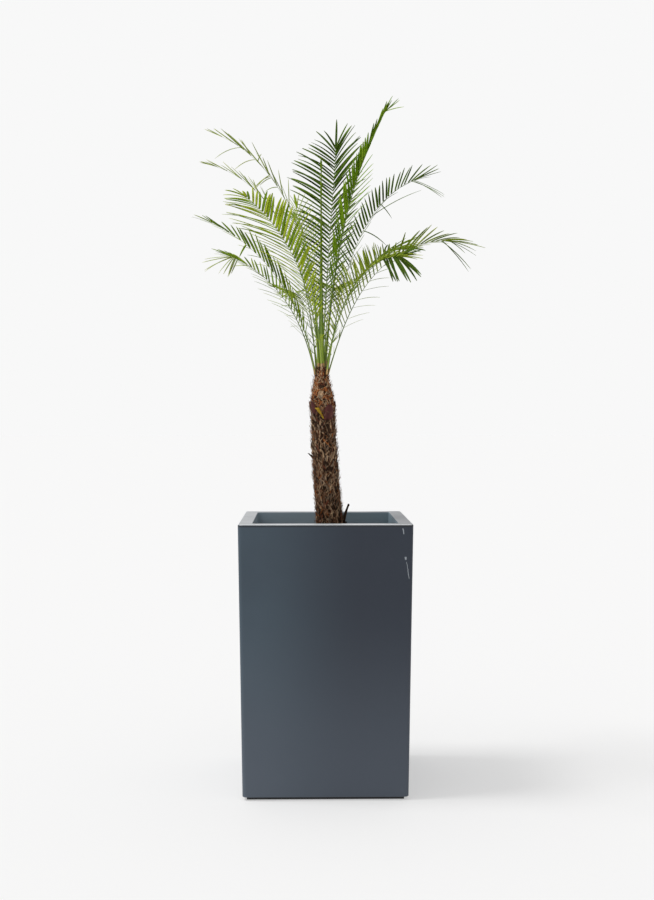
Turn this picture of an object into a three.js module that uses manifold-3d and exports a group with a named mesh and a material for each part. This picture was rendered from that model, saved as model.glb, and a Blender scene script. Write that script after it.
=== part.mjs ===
// A pygmy date palm growing in a tall, tapered, square planter.
//
// Units are millimetres and degrees, +Z is up. The origin is the centre of the planter's flat
// underside, and the planter's front face looks along -Y. The trunk rises from the soil in a slight
// lean, and the fronds stand in a rosette on its neck: each has a rib that arches outwards and two
// rows of narrow leaflets.
import * as THREE from 'three';
import Module from 'manifold-3d';

// ---- Driving dimensions ----

const planter = {
  topWidth: 450,
  bottomWidth: 429,
  height: 713,
  rimWidth: 36,
  rimDepth: 34,
  wall: 14,
  floor: 22,
  footInset: 11,
  footHeight: 8,
  cornerRadius: 10,
  edgeRound: 3,
};
const soilSurface = 651;
const gap = 0.3; // left between one piece and the next

const trunk = {
  top: 1123,
  axisX: [20, -3, -8], // at the soil, at the bend's control point and at the top
  bendHeight: 0.45, // where that control point lies, as a share of the trunk's height
  // radius of the trunk at each height above the soil: root flare, stem, shoulder and neck
  profile: [
    [0, 44], [35, 38], [110, 35], [180, 35], [300, 33.5],
    [365, 33], [395, 30.5], [428, 22.5], [458, 16], [472, 14.5],
  ],
  rows: 32,
  columns: 26, // every second one carries a leaf-base stub
  stubOut: 4.5,
  stubLift: 5,
  stubsEnd: 400, // height above the soil where the fibrous neck begins
};

const rib = {
  footWidth: 10,
  tipWidth: 3,
  taper: 1.6,
  depth: 0.75, // as a share of its width
  sweepPower: 1.5, // how late along the rib its heading turns
  petioleStations: 7,
};
const leaflet = {
  spacing: 20, // along the rib
  rootLength: 9, // along the rib
  width: 13,
  widest: 0.4, // as a share of its length
  thickness: 1 / 70, // of its length
  thinnest: 1.6,
  firstWidth: 0.5, // width of the first and of the last leaflet, as shares of `width`
  lastWidth: 0.7,
  leastOpening: 12, // angle to the rib; one that lay closer along it would meet the next
};

// Each frond's heading is counted from +X, turning towards +Y. Its lean from the vertical runs from
// lean[0] at its foot to lean[1] at its tip, with the power `bend`, and `sweep` turns the heading.
// Its foot stands on the neck at the angle `foot`, footRadius from the axis and footDepth below the
// top. Above the bare petiole leaflets stand in a left and a right row. A row is raised by `fold`
// above the frond's plane, and its stations give [share of the leafy stretch, angle to the rib,
// length]. Leaflets droop by droop[0] at the foot to droop[1] at the tip, and a single one, `end`
// long, ends the rib.
const usualRow = {
  fold: 20, stations: [[0, 54, 68], [0.3, 49, 130], [0.5, 42, 136], [0.7, 33, 120], [1, 18, 75]],
};
const usual = {
  sweep: 0, footRadius: 17, footDepth: 20, petiole: 0.25, left: usualRow, right: usualRow,
  droop: [0.12, 0.15], spacing: 1, end: 80, green: 'mid',
};
const fronds = {
  back_tall: {
    heading: 71, foot: 80, footRadius: 8, footDepth: 6, lean: [9, 30], bend: 1.6, length: 672, sweep: 13,
    left: { fold: 15, stations: [[0, 50, 80], [0.6, 53, 165], [0.84, 50, 135], [1, 26, 90]] },
    right: { fold: 15, stations: [[0, 46, 80], [0.66, 38, 140], [0.92, 28, 142], [1, 14, 110]] },
    droop: [0.2, 0.24], end: 136, green: 'dark',
  },
  right_tall: {
    heading: 11, foot: 8, footRadius: 8, footDepth: 6, lean: [5, 30], bend: 1.7, length: 747, sweep: 18,
    left: { fold: 60, stations: [[0, 20, 60], [0.3, 21, 92], [0.74, 16, 62], [0.78, 3, 80], [1, 2, 40]] },
    right: { fold: -30, stations: [[0, 34, 60], [0.4, 42, 95], [0.56, 36, 70], [0.62, 4, 80], [1, 2, 40]] },
    petiole: 0.3, droop: [0.08, 0], end: 50, green: 'grass',
  },
  right_upper: {
    heading: 25, foot: 30, lean: [10, 69], bend: 2.5, length: 646,
    left: { fold: 45, stations: [[0, 50, 50], [0.62, 42, 78], [0.8, 36, 76], [0.91, 32, 94], [1, 8, 98]] },
    right: { fold: -40, stations: [[0, 24, 50], [0.5, 10, 60], [1, 5, 50]] },
    petiole: 0.3, droop: [0.03, 0.05], end: 92, green: 'dark',
  },
  right_arch: {
    heading: 354, foot: 0, lean: [17, 96], bend: 2, length: 536, sweep: 8,
    left: { fold: 60, stations: [[0, 46, 80], [0.35, 54, 116], [0.54, 60, 62], [0.66, 28, 96], [1, 14, 76]] },
    right: { fold: -50, stations: [[0, 50, 75], [0.27, 50, 88], [0.6, 6, 60], [1, 5, 50]] },
    droop: [0.1, 0.15], end: 96, green: 'olive',
  },
  right_front: {
    heading: 308, foot: 318, lean: [14, 98], bend: 1.6, length: 458,
    left: { fold: 40, stations: [[0, 40, 40], [0.5, 24, 66], [0.75, 5, 92], [1, 12, 78]] },
    right: { fold: 40, stations: [[0, 42, 60], [0.43, 42, 95], [0.7, 48, 62], [1, 10, 60]] },
    petiole: 0.2, droop: [0.1, 0.12], end: 108, green: 'olive',
  },
  left_top: {
    heading: 157, foot: 155, footRadius: 10, footDepth: 6, lean: [2, 64], bend: 1.8, length: 755,
    left: { fold: 40, stations: [[0, 30, 50], [0.4, 12, 90], [0.6, 5, 120], [1, 3, 60]] },
    right: { fold: 60, stations: [[0, 30, 60], [0.4, 22, 84], [0.58, 6, 110], [1, 4, 60]] },
    petiole: 0.36, droop: [0.1, 0.02], spacing: 1.3, end: 56, green: 'pale',
  },
  left_thin: {
    heading: 149, foot: 137, footRadius: 18, lean: [5, 72], bend: 1.7, length: 736,
    left: { fold: 55, stations: [[0, 24, 50], [0.4, 8, 90], [0.85, 5, 90], [1, 5, 50]] },
    right: { fold: 55, stations: [[0, 24, 50], [0.4, 8, 90], [0.85, 6, 90], [1, 6, 56]] },
    petiole: 0.36, droop: [0.05, 0.05], spacing: 1.3, end: 48, green: 'pale',
  },
  left_broad: {
    heading: 226, foot: 215, footRadius: 9, footDepth: 6, lean: [3, 67], bend: 1.2, length: 537,
    left: { fold: 20, stations: [[0, 40, 50], [0.6, 42, 118], [0.84, 44, 86], [1, 26, 34]] },
    right: { fold: -10, stations: [[0, 38, 104], [0.55, 42, 150], [0.8, 36, 114], [1, 14, 64]] },
    droop: [0.1, 0.15], end: 52, green: 'bright',
  },
  left_middle: {
    heading: 189, foot: 202, lean: [11, 66], bend: 1.3, length: 511,
    left: { fold: -50, stations: [[0, 60, 46], [0.66, 36, 40], [0.74, 9, 64], [1, 5, 60]] },
    right: { fold: 60, stations: [[0, 16, 60], [0.5, 26, 88], [0.8, 24, 50], [1, 5, 50]] },
    droop: [0.2, 0.05], end: 46, green: 'fresh',
  },
  left_low: {
    heading: 161, foot: 171, lean: [13, 68], bend: 1.3, length: 430,
    left: { fold: -40, stations: [[0, 26, 50], [0.3, 38, 74], [0.6, 10, 60], [1, 7, 50]] },
    right: { fold: 62, stations: [[0, 30, 50], [0.5, 34, 56], [0.76, 30, 44], [1, 6, 66]] },
    droop: [0.1, 0.12], end: 50, green: 'fresh',
  },
  front_young: {
    heading: 255, foot: 275, footRadius: 9, footDepth: 6, lean: [7, 43], bend: 0.4, length: 474,
    left: { fold: 40, stations: [[0, 52, 40], [0.66, 55, 64], [1, 20, 48]] },
    right: { fold: 30, stations: [[0, 54, 36], [0.3, 58, 47], [0.5, 42, 48], [1, 14, 44]] },
    petiole: 0.4, droop: [0.1, 0.1], end: 44, green: 'bright',
  },
  spear: {
    heading: 90, foot: 240, footRadius: 1.5, footDepth: 6, lean: [0, 3], bend: 1.5, length: 545,
    petiole: 1, end: 26, green: 'fresh', // the youngest leaf is still closed, so it is all stalk
  },
  back_right: {
    heading: 48, foot: 61, footRadius: 18, lean: [16, 86], bend: 1.5, length: 560, petiole: 0.36,
  },
  back_middle: { heading: 102, foot: 106, lean: [10, 66], bend: 1.4, length: 600, petiole: 0.36 },
  back_left: {
    heading: 104, foot: 112, footRadius: 20, footDepth: 45, lean: [20, 90], bend: 1.4, length: 450,
    petiole: 0.42, green: 'olive',
  },
  back_low: {
    heading: 82, foot: 80, footRadius: 20, footDepth: 45, lean: [20, 92], bend: 1.4, length: 490,
    petiole: 0.42, green: 'olive',
  },
};

// ---- Materials ----

const slateFinish = new THREE.MeshStandardMaterial({ color: 0x454b54, roughness: 0.75, metalness: 0 });
const pottingSoil = new THREE.MeshStandardMaterial({ color: 0x3a2c22, roughness: 1, metalness: 0 });
const fibrousBark = new THREE.MeshStandardMaterial({ color: 0x6b5140, roughness: 0.95, metalness: 0 });
const leafGreens = {
  dark: 0x2d4123, grass: 0x5f9424, mid: 0x5a8232, fresh: 0x6c9434, olive: 0x7a8b3a, pale: 0x98a368,
  bright: 0x8ea52c,
};
const leafMaterial = (green) =>
  new THREE.MeshStandardMaterial({ color: leafGreens[green], roughness: 0.6, metalness: 0 });

// ---- Small tools ----

const wasm = await Module();
wasm.setup();

const rad = THREE.MathUtils.degToRad;
const mix = THREE.MathUtils.lerp;

// A column of a table at x, straight from row to row. The table's first column holds the x of each row.
function through(table, x, column = 1) {
  const next = table.findIndex(([at]) => at >= x);
  if (next < 1) return table.at(next)[column];
  const [before, after] = table.slice(next - 1, next + 1);
  return mix(before[column], after[column], (x - before[0]) / (after[0] - before[0]));
}

// A closed solid from its points and its triangles, which index them.
function solidOf(points, triangles) {
  const vertProperties = new Float32Array(points.flatMap((p) => p.toArray()));
  const triVerts = new Uint32Array(triangles.flat());
  return new wasm.Manifold(new wasm.Mesh({ numProp: 3, vertProperties, triVerts }));
}

function meshOf(name, solid, material) {
  const { vertProperties, triVerts } = solid.getMesh();
  const geometry = new THREE.BufferGeometry();
  geometry.setAttribute('position', new THREE.BufferAttribute(vertProperties, 3));
  geometry.setIndex(new THREE.BufferAttribute(triVerts, 1));
  geometry.computeVertexNormals();
  const mesh = new THREE.Mesh(geometry, material);
  mesh.name = name;
  return mesh;
}

// A solid through rings of equal length, listed so that each turns the way of the right-hand rule
// about the path. Its two ends are flat. On alternate rings `slant` swaps the faces' diagonal.
function loft(rings, slant = () => false) {
  const n = rings[0].length;
  const triangles = [];
  for (let k = 0; k + 1 < rings.length; k++) {
    for (let i = 0; i < n; i++) {
      const j = (i + 1) % n;
      const [a, b, c, d] = [k * n + i, k * n + j, (k + 1) * n + j, (k + 1) * n + i];
      triangles.push(...(slant(k) ? [[a, b, d], [b, c, d]] : [[a, b, c], [a, c, d]]));
    }
  }
  const last = (rings.length - 1) * n;
  for (let i = 1; i + 1 < n; i++) {
    triangles.push([0, i + 1, i], [last, last + i, last + i + 1]);
  }
  return solidOf(rings.flat(), triangles);
}

// ---- Planter: tapered walls, an inward rim, a closed floor and a recessed foot ----

const cornerSteps = 4;

// A square ring with rounded corners, `half` from its middle to its sides.
function squareRing(half, radius, z) {
  const ring = [];
  for (let corner = 0; corner < 4; corner++) {
    const turn = corner * Math.PI / 2;
    const centre = new THREE.Vector2(half - radius, half - radius).rotateAround(new THREE.Vector2(), turn);
    for (let step = 0; step <= cornerSteps; step++) {
      const angle = turn + (step / cornerSteps) * Math.PI / 2;
      const [x, y] = [centre.x + radius * Math.cos(angle), centre.y + radius * Math.sin(angle)];
      ring.push(new THREE.Vector3(x, y, z));
    }
  }
  return ring;
}

// Half the planter's outer width at a height.
const outerHalf = (z) => mix(planter.bottomWidth, planter.topWidth, z / planter.height) / 2;

function planterSolid() {
  const { height, rimWidth, rimDepth, wall, floor } = planter;
  const { footInset, footHeight, cornerRadius, edgeRound } = planter;
  const bottom = planter.bottomWidth / 2;
  const top = planter.topWidth / 2;
  const inside = cornerRadius - wall / 2;
  const rimUnderside = height - rimDepth;
  return loft([
    squareRing(bottom - footInset, inside, 0),
    squareRing(bottom - footInset, inside, footHeight),
    squareRing(bottom - edgeRound, cornerRadius - edgeRound, footHeight),
    squareRing(outerHalf(footHeight + edgeRound), cornerRadius, footHeight + edgeRound),
    squareRing(outerHalf(height - edgeRound / 2), cornerRadius, height - edgeRound / 2),
    squareRing(top - edgeRound / 2, cornerRadius - edgeRound / 2, height),
    squareRing(top - rimWidth + edgeRound / 2, inside, height),
    squareRing(top - rimWidth, inside, height - edgeRound / 2),
    squareRing(top - rimWidth, inside, rimUnderside),
    squareRing(outerHalf(rimUnderside) - wall, inside, rimUnderside - edgeRound),
    squareRing(outerHalf(floor) - wall, inside, floor),
  ]);
}

// ---- Soil: fills the planter up to its surface, clear of the floor and the walls ----

function soilSolid() {
  const radius = planter.cornerRadius - planter.wall / 2;
  const ring = (z) => squareRing(outerHalf(z) - planter.wall - gap, radius, z);
  return loft([ring(planter.floor + gap), ring(soilSurface)]);
}

// ---- Trunk ----

const trunkFoot = soilSurface + gap;

// The trunk's axis: a curve that leans over gently towards -X.
const trunkAxis = new THREE.QuadraticBezierCurve3(
  new THREE.Vector3(trunk.axisX[0], 0, trunkFoot),
  new THREE.Vector3(trunk.axisX[1], 0, mix(trunkFoot, trunk.top, trunk.bendHeight)),
  new THREE.Vector3(trunk.axisX[2], 0, trunk.top),
);

// Rings up the axis, turned by half a column on every second row. On the other rows every second
// point is pushed outwards and upwards as the tip of a leaf-base stub, in a diamond pattern.
function trunkSolid(swell = 0) {
  const rings = [];
  for (let row = 0; row <= trunk.rows; row++) {
    const centre = trunkAxis.getPoint(row / trunk.rows);
    const height = centre.z - trunkFoot;
    const stubRow = row > 0 && row % 2 === 0 && height < trunk.stubsEnd;
    const ring = [];
    for (let column = 0; column < trunk.columns; column++) {
      const angle = ((column + (row % 2) / 2) / trunk.columns) * 2 * Math.PI;
      const stub = stubRow && (column + row / 2) % 2 === 0;
      const radius = through(trunk.profile, height) + swell + (stub ? trunk.stubOut : 0);
      const lift = (stub ? trunk.stubLift : 0) + (row === trunk.rows ? swell : 0);
      ring.push(new THREE.Vector3(
        centre.x + radius * Math.cos(angle),
        centre.y + radius * Math.sin(angle),
        centre.z + lift,
      ));
    }
    rings.push(ring);
  }
  return loft(rings, (row) => row % 2 === 0);
}

// ---- Fronds ----

const curveSteps = 240;

// The rib as points with the direction along it, the side to the left of it and its upper side.
function ribCurve(frond) {
  const foot = trunkAxis.getPoint(1).add(new THREE.Vector3(
    frond.footRadius * Math.cos(rad(frond.foot)),
    frond.footRadius * Math.sin(rad(frond.foot)),
    -frond.footDepth,
  ));
  const frames = [];
  for (let i = 0; i <= curveSteps; i++) {
    const s = i / curveSteps;
    const lean = rad(mix(frond.lean[0], frond.lean[1], s ** frond.bend));
    const heading = rad(frond.heading + frond.sweep * s ** rib.sweepPower);
    const along = new THREE.Vector3(
      Math.sin(lean) * Math.cos(heading),
      Math.sin(lean) * Math.sin(heading),
      Math.cos(lean),
    );
    const side = new THREE.Vector3(-Math.sin(heading), Math.cos(heading), 0);
    const up = along.clone().cross(side);
    const last = frames.at(-1);
    const halfStep = frond.length / curveSteps / 2;
    const point = last ? last.point.clone() : foot;
    if (last) point.addScaledVector(last.along, halfStep).addScaledVector(along, halfStep);
    frames.push({ point, along, side, up });
  }
  return frames;
}

const frameAt = (curve, s) => curve[Math.round(s * curveSteps)];

// Three points round the rib: its left edge, its ridge and its right edge.
function ribRing(curve, s) {
  const { point, side, up } = frameAt(curve, s);
  const width = mix(rib.tipWidth, rib.footWidth, (1 - s) ** rib.taper);
  const depth = width * rib.depth;
  const at = (left, high) => point.clone().addScaledVector(side, left).addScaledVector(up, high);
  return [at(width / 2, -depth / 3), at(0, depth * 2 / 3), at(-width / 2, -depth / 3)];
}

// Where the rib has rings, as shares of its length: down the bare petiole, then at the two ends of
// each leaflet's root. `roots` says which stretches between rings carry a pair of leaflets.
function ribStations(frond) {
  const stations = [];
  for (let i = 0; i < rib.petioleStations; i++) {
    stations.push((frond.petiole * i) / rib.petioleStations);
  }
  const pitch = (leaflet.spacing * frond.spacing) / frond.length;
  const root = leaflet.rootLength / frond.length;
  const pairs = Math.floor((1 - frond.petiole) / pitch);
  const roots = new Map();
  for (let pair = 0; pair < pairs; pair++) {
    const s = frond.petiole + pair * pitch;
    roots.set(stations.length, pair / (pairs - 1));
    stations.push(s, s + root);
  }
  return { stations, roots };
}

// The blade of a leaflet on one side (+1 left, -1 right): three points round its widest place, and
// its tip. It sets off at its row's angle to the rib, raised by the row's fold, and droops with the
// square of the way.
function leafletBlade(frond, frame, t, hand, change, swell = 0) {
  const row = hand > 0 ? frond.left : frond.right;
  const opening = rad(Math.max(through(row.stations, t), leaflet.leastOpening) + change.opening);
  const fold = rad(row.fold + change.fold);
  const length = through(row.stations, t, 2) * change.length;
  const out = new THREE.Vector3()
    .addScaledVector(frame.side, hand * Math.cos(fold))
    .addScaledVector(frame.up, Math.sin(fold));
  const along = new THREE.Vector3()
    .addScaledVector(frame.along, Math.cos(opening))
    .addScaledVector(out, Math.sin(opening));
  const across = frame.along.clone().addScaledVector(along, -frame.along.dot(along)).normalize();
  const upper = across.clone().cross(along).multiplyScalar(hand);
  const droop = mix(frond.droop[0], frond.droop[1], t);
  const fall = new THREE.Vector3(0, 0, -droop * length * Math.hypot(along.x, along.y));
  const at = (u) => frame.point.clone().addScaledVector(along, length * u).addScaledVector(fall, u * u);
  const middle = at(leaflet.widest);
  const narrowing = Math.min(1, leaflet.firstWidth + t, leaflet.lastWidth + 1 - t);
  const halfWidth = (leaflet.width * narrowing) / 2 + swell;
  const thick = Math.max(length * leaflet.thickness, leaflet.thinnest) + swell;
  return {
    rear: middle.clone().addScaledVector(across, -halfWidth).addScaledVector(upper, -swell),
    ridge: middle.clone().addScaledVector(upper, thick),
    fore: middle.clone().addScaledVector(across, halfWidth).addScaledVector(upper, -swell),
    tip: at(1).addScaledVector(along, swell),
  };
}

// ---- Leaflets keep clear of every other piece ----

const volume = (a, b, c, d) => b.clone().sub(a).dot(c.clone().sub(a).cross(d.clone().sub(a)));

// Does the line from p to q pass through the triangle?
function crosses([p, q], [a, b, c]) {
  if (volume(p, a, b, c) * volume(q, a, b, c) > 0) return false;
  const turns = [volume(p, q, a, b), volume(p, q, b, c), volume(p, q, c, a)];
  return turns.every((v) => v > 0) || turns.every((v) => v < 0);
}

// The faces, edges and box of a small part of a frond: two rings, or a ring, a ring and a tip.
function obstacle(first, second, tip) {
  const faces = [];
  const edges = [];
  for (const [i, j] of [[0, 1], [1, 2], [2, 0]]) {
    faces.push([first[i], first[j], second[j]], [first[i], second[j], second[i]]);
    edges.push([first[i], second[i]], [second[i], second[j]], [first[i], second[j]]);
    if (tip) {
      faces.push([second[i], second[j], tip]);
      edges.push([second[i], tip]);
    }
  }
  const box = new THREE.Box3().setFromPoints([...first, ...second, ...(tip ? [tip] : [])]);
  return { faces, edges, box };
}

const pierces = (edges, faces) => edges.some((edge) => faces.some((face) => crosses(edge, face)));
const touches = (a, b) =>
  a.box.intersectsBox(b.box) && (pierces(a.edges, b.faces) || pierces(b.edges, a.faces));

// What a leaflet may do to keep clear, from the least change to the most.
const changes = [];
for (const length of [1, 0.8, 0.6, 0.45]) {
  for (const fold of [0, 8, -8, 16, -16, 24]) {
    for (const opening of [0, -7, 10]) changes.push({ fold, opening, length });
  }
}

// All the fronds are grown together, so that each leaflet is tried against what stands already.
function growFronds() {
  const grown = Object.entries(fronds).map(([name, own]) => {
    const frond = { ...usual, ...own };
    const curve = ribCurve(frond);
    const { stations, roots } = ribStations(frond);
    const rings = stations.map((s) => ribRing(curve, s));
    return { name, frond, curve, stations, roots, rings, leaflets: new Map() };
  });
  const ribs = grown.flatMap(({ name, rings }) =>
    rings.slice(1).map((ring, k) => ({ name, k, ...obstacle(rings[k], ring) })));
  const blades = [];
  for (const plant of grown) {
    // from the tip down, so that the leaflets that reach furthest find their place first
    for (const [k, t] of [...plant.roots].reverse()) {
      const frame = frameAt(plant.curve, (plant.stations[k] + plant.stations[k + 1]) / 2);
      const [near, far] = [plant.rings[k], plant.rings[k + 1]];
      // every stretch of rib but the one it grows from and the two beside that
      const clearOf = ribs.filter((piece) => piece.name !== plant.name || Math.abs(piece.k - k) > 1);
      for (const hand of [1, -1]) {
        const root = hand > 0 ? [near[0], far[1], far[0]] : [near[1], near[2], far[2]];
        const ringOf = (b) => (hand > 0 ? [b.rear, b.ridge, b.fore] : [b.ridge, b.rear, b.fore]);
        const clear = changes.find((change) => {
          const blade = leafletBlade(plant.frond, frame, t, hand, change, gap);
          const tried = obstacle(root, ringOf(blade), blade.tip);
          return ![...clearOf, ...blades].some((piece) => touches(tried, piece));
        });
        if (!clear) continue;
        const blade = leafletBlade(plant.frond, frame, t, hand, clear);
        blades.push(obstacle(root, ringOf(blade), blade.tip));
        plant.leaflets.set(`${k} ${hand}`, [...ringOf(blade), blade.tip]);
      }
    }
  }
  return grown;
}

// One frond as a closed solid: the rib's three sides from ring to ring, with a leaflet grown out of
// one triangle of a side wherever one stands, and a single leaflet carrying on from the rib's end.
function frondSolid({ frond, rings, roots, leaflets, curve }) {
  const points = rings.flat();
  const triangles = [[0, 2, 1]];
  const grow = (root, [a, b, c, tip]) => {
    const blade = [points.push(a) - 1, points.push(b) - 1, points.push(c) - 1];
    const end = points.push(tip) - 1;
    for (const [i, j] of [[0, 1], [1, 2], [2, 0]]) {
      triangles.push([root[i], root[j], blade[j]], [root[i], blade[j], blade[i]], [blade[i], blade[j], end]);
    }
  };
  for (let k = 0; k + 1 < rings.length; k++) {
    const [leftA, ridgeA, rightA, leftB, ridgeB, rightB] = [0, 1, 2, 3, 4, 5].map((i) => 3 * k + i);
    triangles.push([leftA, ridgeA, ridgeB], [ridgeA, rightB, ridgeB]);
    triangles.push([rightA, leftA, leftB], [rightA, leftB, rightB]);
    const sides = [[1, [leftA, ridgeB, leftB]], [-1, [ridgeA, rightA, rightB]]];
    for (const [hand, root] of sides) {
      const leaf = roots.has(k) && leaflets.get(`${k} ${hand}`);
      if (leaf) grow(root, leaf);
      else triangles.push(root);
    }
  }
  const { point, along } = curve.at(-1);
  const end = points.push(point.clone().addScaledVector(along, frond.end)) - 1;
  const last = 3 * (rings.length - 1);
  triangles.push([last, last + 1, end], [last + 1, last + 2, end], [last + 2, last, end]);
  return solidOf(points, triangles);
}

// ---- The plant in its planter ----

const palm = new THREE.Group();
palm.add(meshOf('planter', planterSolid(), slateFinish));
palm.add(meshOf('soil', soilSolid(), pottingSoil));
palm.add(meshOf('trunk', trunkSolid(), fibrousBark));

const neckRoom = trunkSolid(gap);
for (const plant of growFronds()) {
  const frond = frondSolid(plant).subtract(neckRoom);
  palm.add(meshOf(`frond_${plant.name}`, frond, leafMaterial(plant.frond.green)));
}

export default palm;
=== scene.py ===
"""A pygmy date palm in a tall square planter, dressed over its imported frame.

The plant is put together from the ground up: planter, potting mix, trunk with its old leaf bases and
fibres, then the fronds, each a rib with two rows of leaflets. Sizes are in metres, +Z is up, and the
origin is the middle of the planter's underside.
"""
import math

import bpy
import numpy as np
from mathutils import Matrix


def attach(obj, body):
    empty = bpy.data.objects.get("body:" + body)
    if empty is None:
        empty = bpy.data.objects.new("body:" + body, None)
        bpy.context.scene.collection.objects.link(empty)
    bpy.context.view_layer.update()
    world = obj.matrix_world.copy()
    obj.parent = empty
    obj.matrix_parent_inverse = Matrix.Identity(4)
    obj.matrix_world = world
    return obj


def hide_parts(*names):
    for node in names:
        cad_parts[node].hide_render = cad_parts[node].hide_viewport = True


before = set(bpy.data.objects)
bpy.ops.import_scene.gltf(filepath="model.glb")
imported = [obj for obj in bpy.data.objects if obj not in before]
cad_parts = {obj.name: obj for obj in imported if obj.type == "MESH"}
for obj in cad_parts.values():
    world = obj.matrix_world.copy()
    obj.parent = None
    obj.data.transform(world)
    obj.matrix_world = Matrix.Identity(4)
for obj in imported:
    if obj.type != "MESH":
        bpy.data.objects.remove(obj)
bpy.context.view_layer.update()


# ---- Planter ----
# A tall square pot of fibre-reinforced clay. It is pressed in a mould, sanded and sprayed a matt
# slate grey. The walls taper to a foot that is set back, and the rim turns inwards as a flat ledge.

POT_HEIGHT = 0.713
TOP_HALF = 0.225
FOOT_HALF = 0.2145
RIM_WIDTH, RIM_DEPTH = 0.036, 0.034
WALL, FLOOR = 0.014, 0.022
FOOT_INSET, FOOT_HEIGHT = 0.011, 0.008
OUTER_CORNER, INNER_CORNER = 0.01, 0.003
OUTER_EASING, INNER_EASING = 0.0025, 0.002
LEDGE_FALL = 0.003
FLAT_FACE = 0.02
# Three scuffs beside the front's right edge: where, slope, lower and upper end, half width.
SCUFFS = ((0.1995, 0.1, 0.687, 0.704, 0.0016), (0.205, 0, 0.621, 0.631, 0.0026),
          (0.214, 0.16, 0.572, 0.618, 0.0009))


def pot_half(z):
    """Half the pot's outer width at a height: a straight line from foot to top."""
    return FOOT_HALF + (TOP_HALF - FOOT_HALF) * z / POT_HEIGHT


def unit(ways):
    """Directions brought to length 1."""
    return ways / np.linalg.norm(ways, axis=-1, keepdims=True)


def eased_profile(corners, steps=6):
    """A section line through corners (half width, height, corner radius, easing). Each gives way to a
    quadratic curve that starts and ends `easing` away from it."""
    corners = np.array(corners)
    stations = []
    for before, corner, after in zip(np.roll(corners, 1, 0), corners, np.roll(corners, -1, 0)):
        t = np.linspace(0, 1, steps if corner[3] else 1)[:, None]
        turn = (1 - t) ** 2 * unit((before - corner)[:2]) + t ** 2 * unit((after - corner)[:2])
        line = corner[:2] + corner[3] * turn
        stations.append(np.hstack([line, np.full((len(t), 1), corner[2])]))
    return np.vstack(stations)


def square_rings(stations, corner_steps=10):
    """Rounded squares, one for each station (half width, height, corner radius). A corner's point at
    angle a is the corner's centre plus the radius times (cos a, sin a)."""
    half, height, radius = stations.T[:, :, None]
    turn = np.repeat(np.arange(4) * math.pi / 2, corner_steps + 1)
    angle = turn + np.tile(np.linspace(0, math.pi / 2, corner_steps + 1), 4)
    middle = (half - radius) * math.sqrt(2)
    x = middle * np.cos(turn + math.pi / 4) + radius * np.cos(angle)
    y = middle * np.sin(turn + math.pi / 4) + radius * np.sin(angle)
    return np.stack([x, y, np.broadcast_to(height, x.shape)], -1)


def tubes(rings, tip=0):
    """Closed tubes from rings of points (count, rows, columns, 3), with a fan over each end: all their
    points, and their faces of four and of three sides. The last fan's point stands out past its ring
    by `tip` times the last step. Rings turn by the right-hand rule about the way rows go."""
    count, rows, columns = rings.shape[:3]
    here = np.arange(rows * columns).reshape(rows, columns)
    beside = np.roll(here, -1, 1)
    quads = np.stack([here[:-1], beside[:-1], beside[1:], here[1:]], -1).reshape(-1, 4)
    middle = np.full(columns, here.size)
    fans = np.hstack([(middle, beside[0], here[0]), (middle + 1, here[-1], beside[-1])]).T
    ends = rings[:, [0, -1]].mean(2)
    ends[:, 1] += (ends[:, 1] - rings[:, -2].mean(1)) * tip
    points = np.concatenate([rings.reshape(count, -1, 3), ends], 1)
    first = (np.arange(count) * points.shape[1])[:, None, None]
    return points.reshape(-1, 3), [(f + first).reshape(-1, f.shape[1]) for f in (quads, fans)]


def in_scene(name, data):
    """An object that carries the data, linked to the scene."""
    made = bpy.data.objects.new(name, data)
    bpy.context.scene.collection.objects.link(made)
    return made


def add_piece(name, points, faces, finishes, tints=None, uv=None, flat_over=None):
    """A mesh piece from points and arrays of faces. `tints` numbers each face's finish, `uv` is each
    point's place in a pattern, and faces wider than `flat_over` are shaded flat."""
    faces = [np.asarray(f, np.int32) for f in faces]
    corners = np.concatenate([f.ravel() for f in faces])
    sizes = np.concatenate([np.full(len(f), f.shape[1]) for f in faces])
    mesh = bpy.data.meshes.new(name)
    mesh.vertices.add(len(points))
    mesh.vertices.foreach_set("co", np.asarray(points, np.float32).ravel())
    mesh.loops.add(len(corners))
    mesh.loops.foreach_set("vertex_index", corners)
    mesh.polygons.add(len(sizes))
    mesh.polygons.foreach_set("loop_start", (np.cumsum(sizes) - sizes).astype(np.int32))
    smooth = np.ones(len(sizes), bool)
    if flat_over:
        smooth = np.concatenate([np.ptp(points[f], axis=1).max(-1) for f in faces]) < flat_over
    mesh.polygons.foreach_set("use_smooth", smooth)
    for finish in finishes:
        mesh.materials.append(finish)
    if tints is not None:
        mesh.polygons.foreach_set("material_index", np.asarray(tints, np.int32))
    if uv is not None:
        pattern = mesh.uv_layers.new(name="pattern").data
        pattern.foreach_set("uv", np.asarray(uv, np.float32)[corners].ravel())
    mesh.update(calc_edges=True)
    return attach(in_scene(name, mesh), "root")


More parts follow.
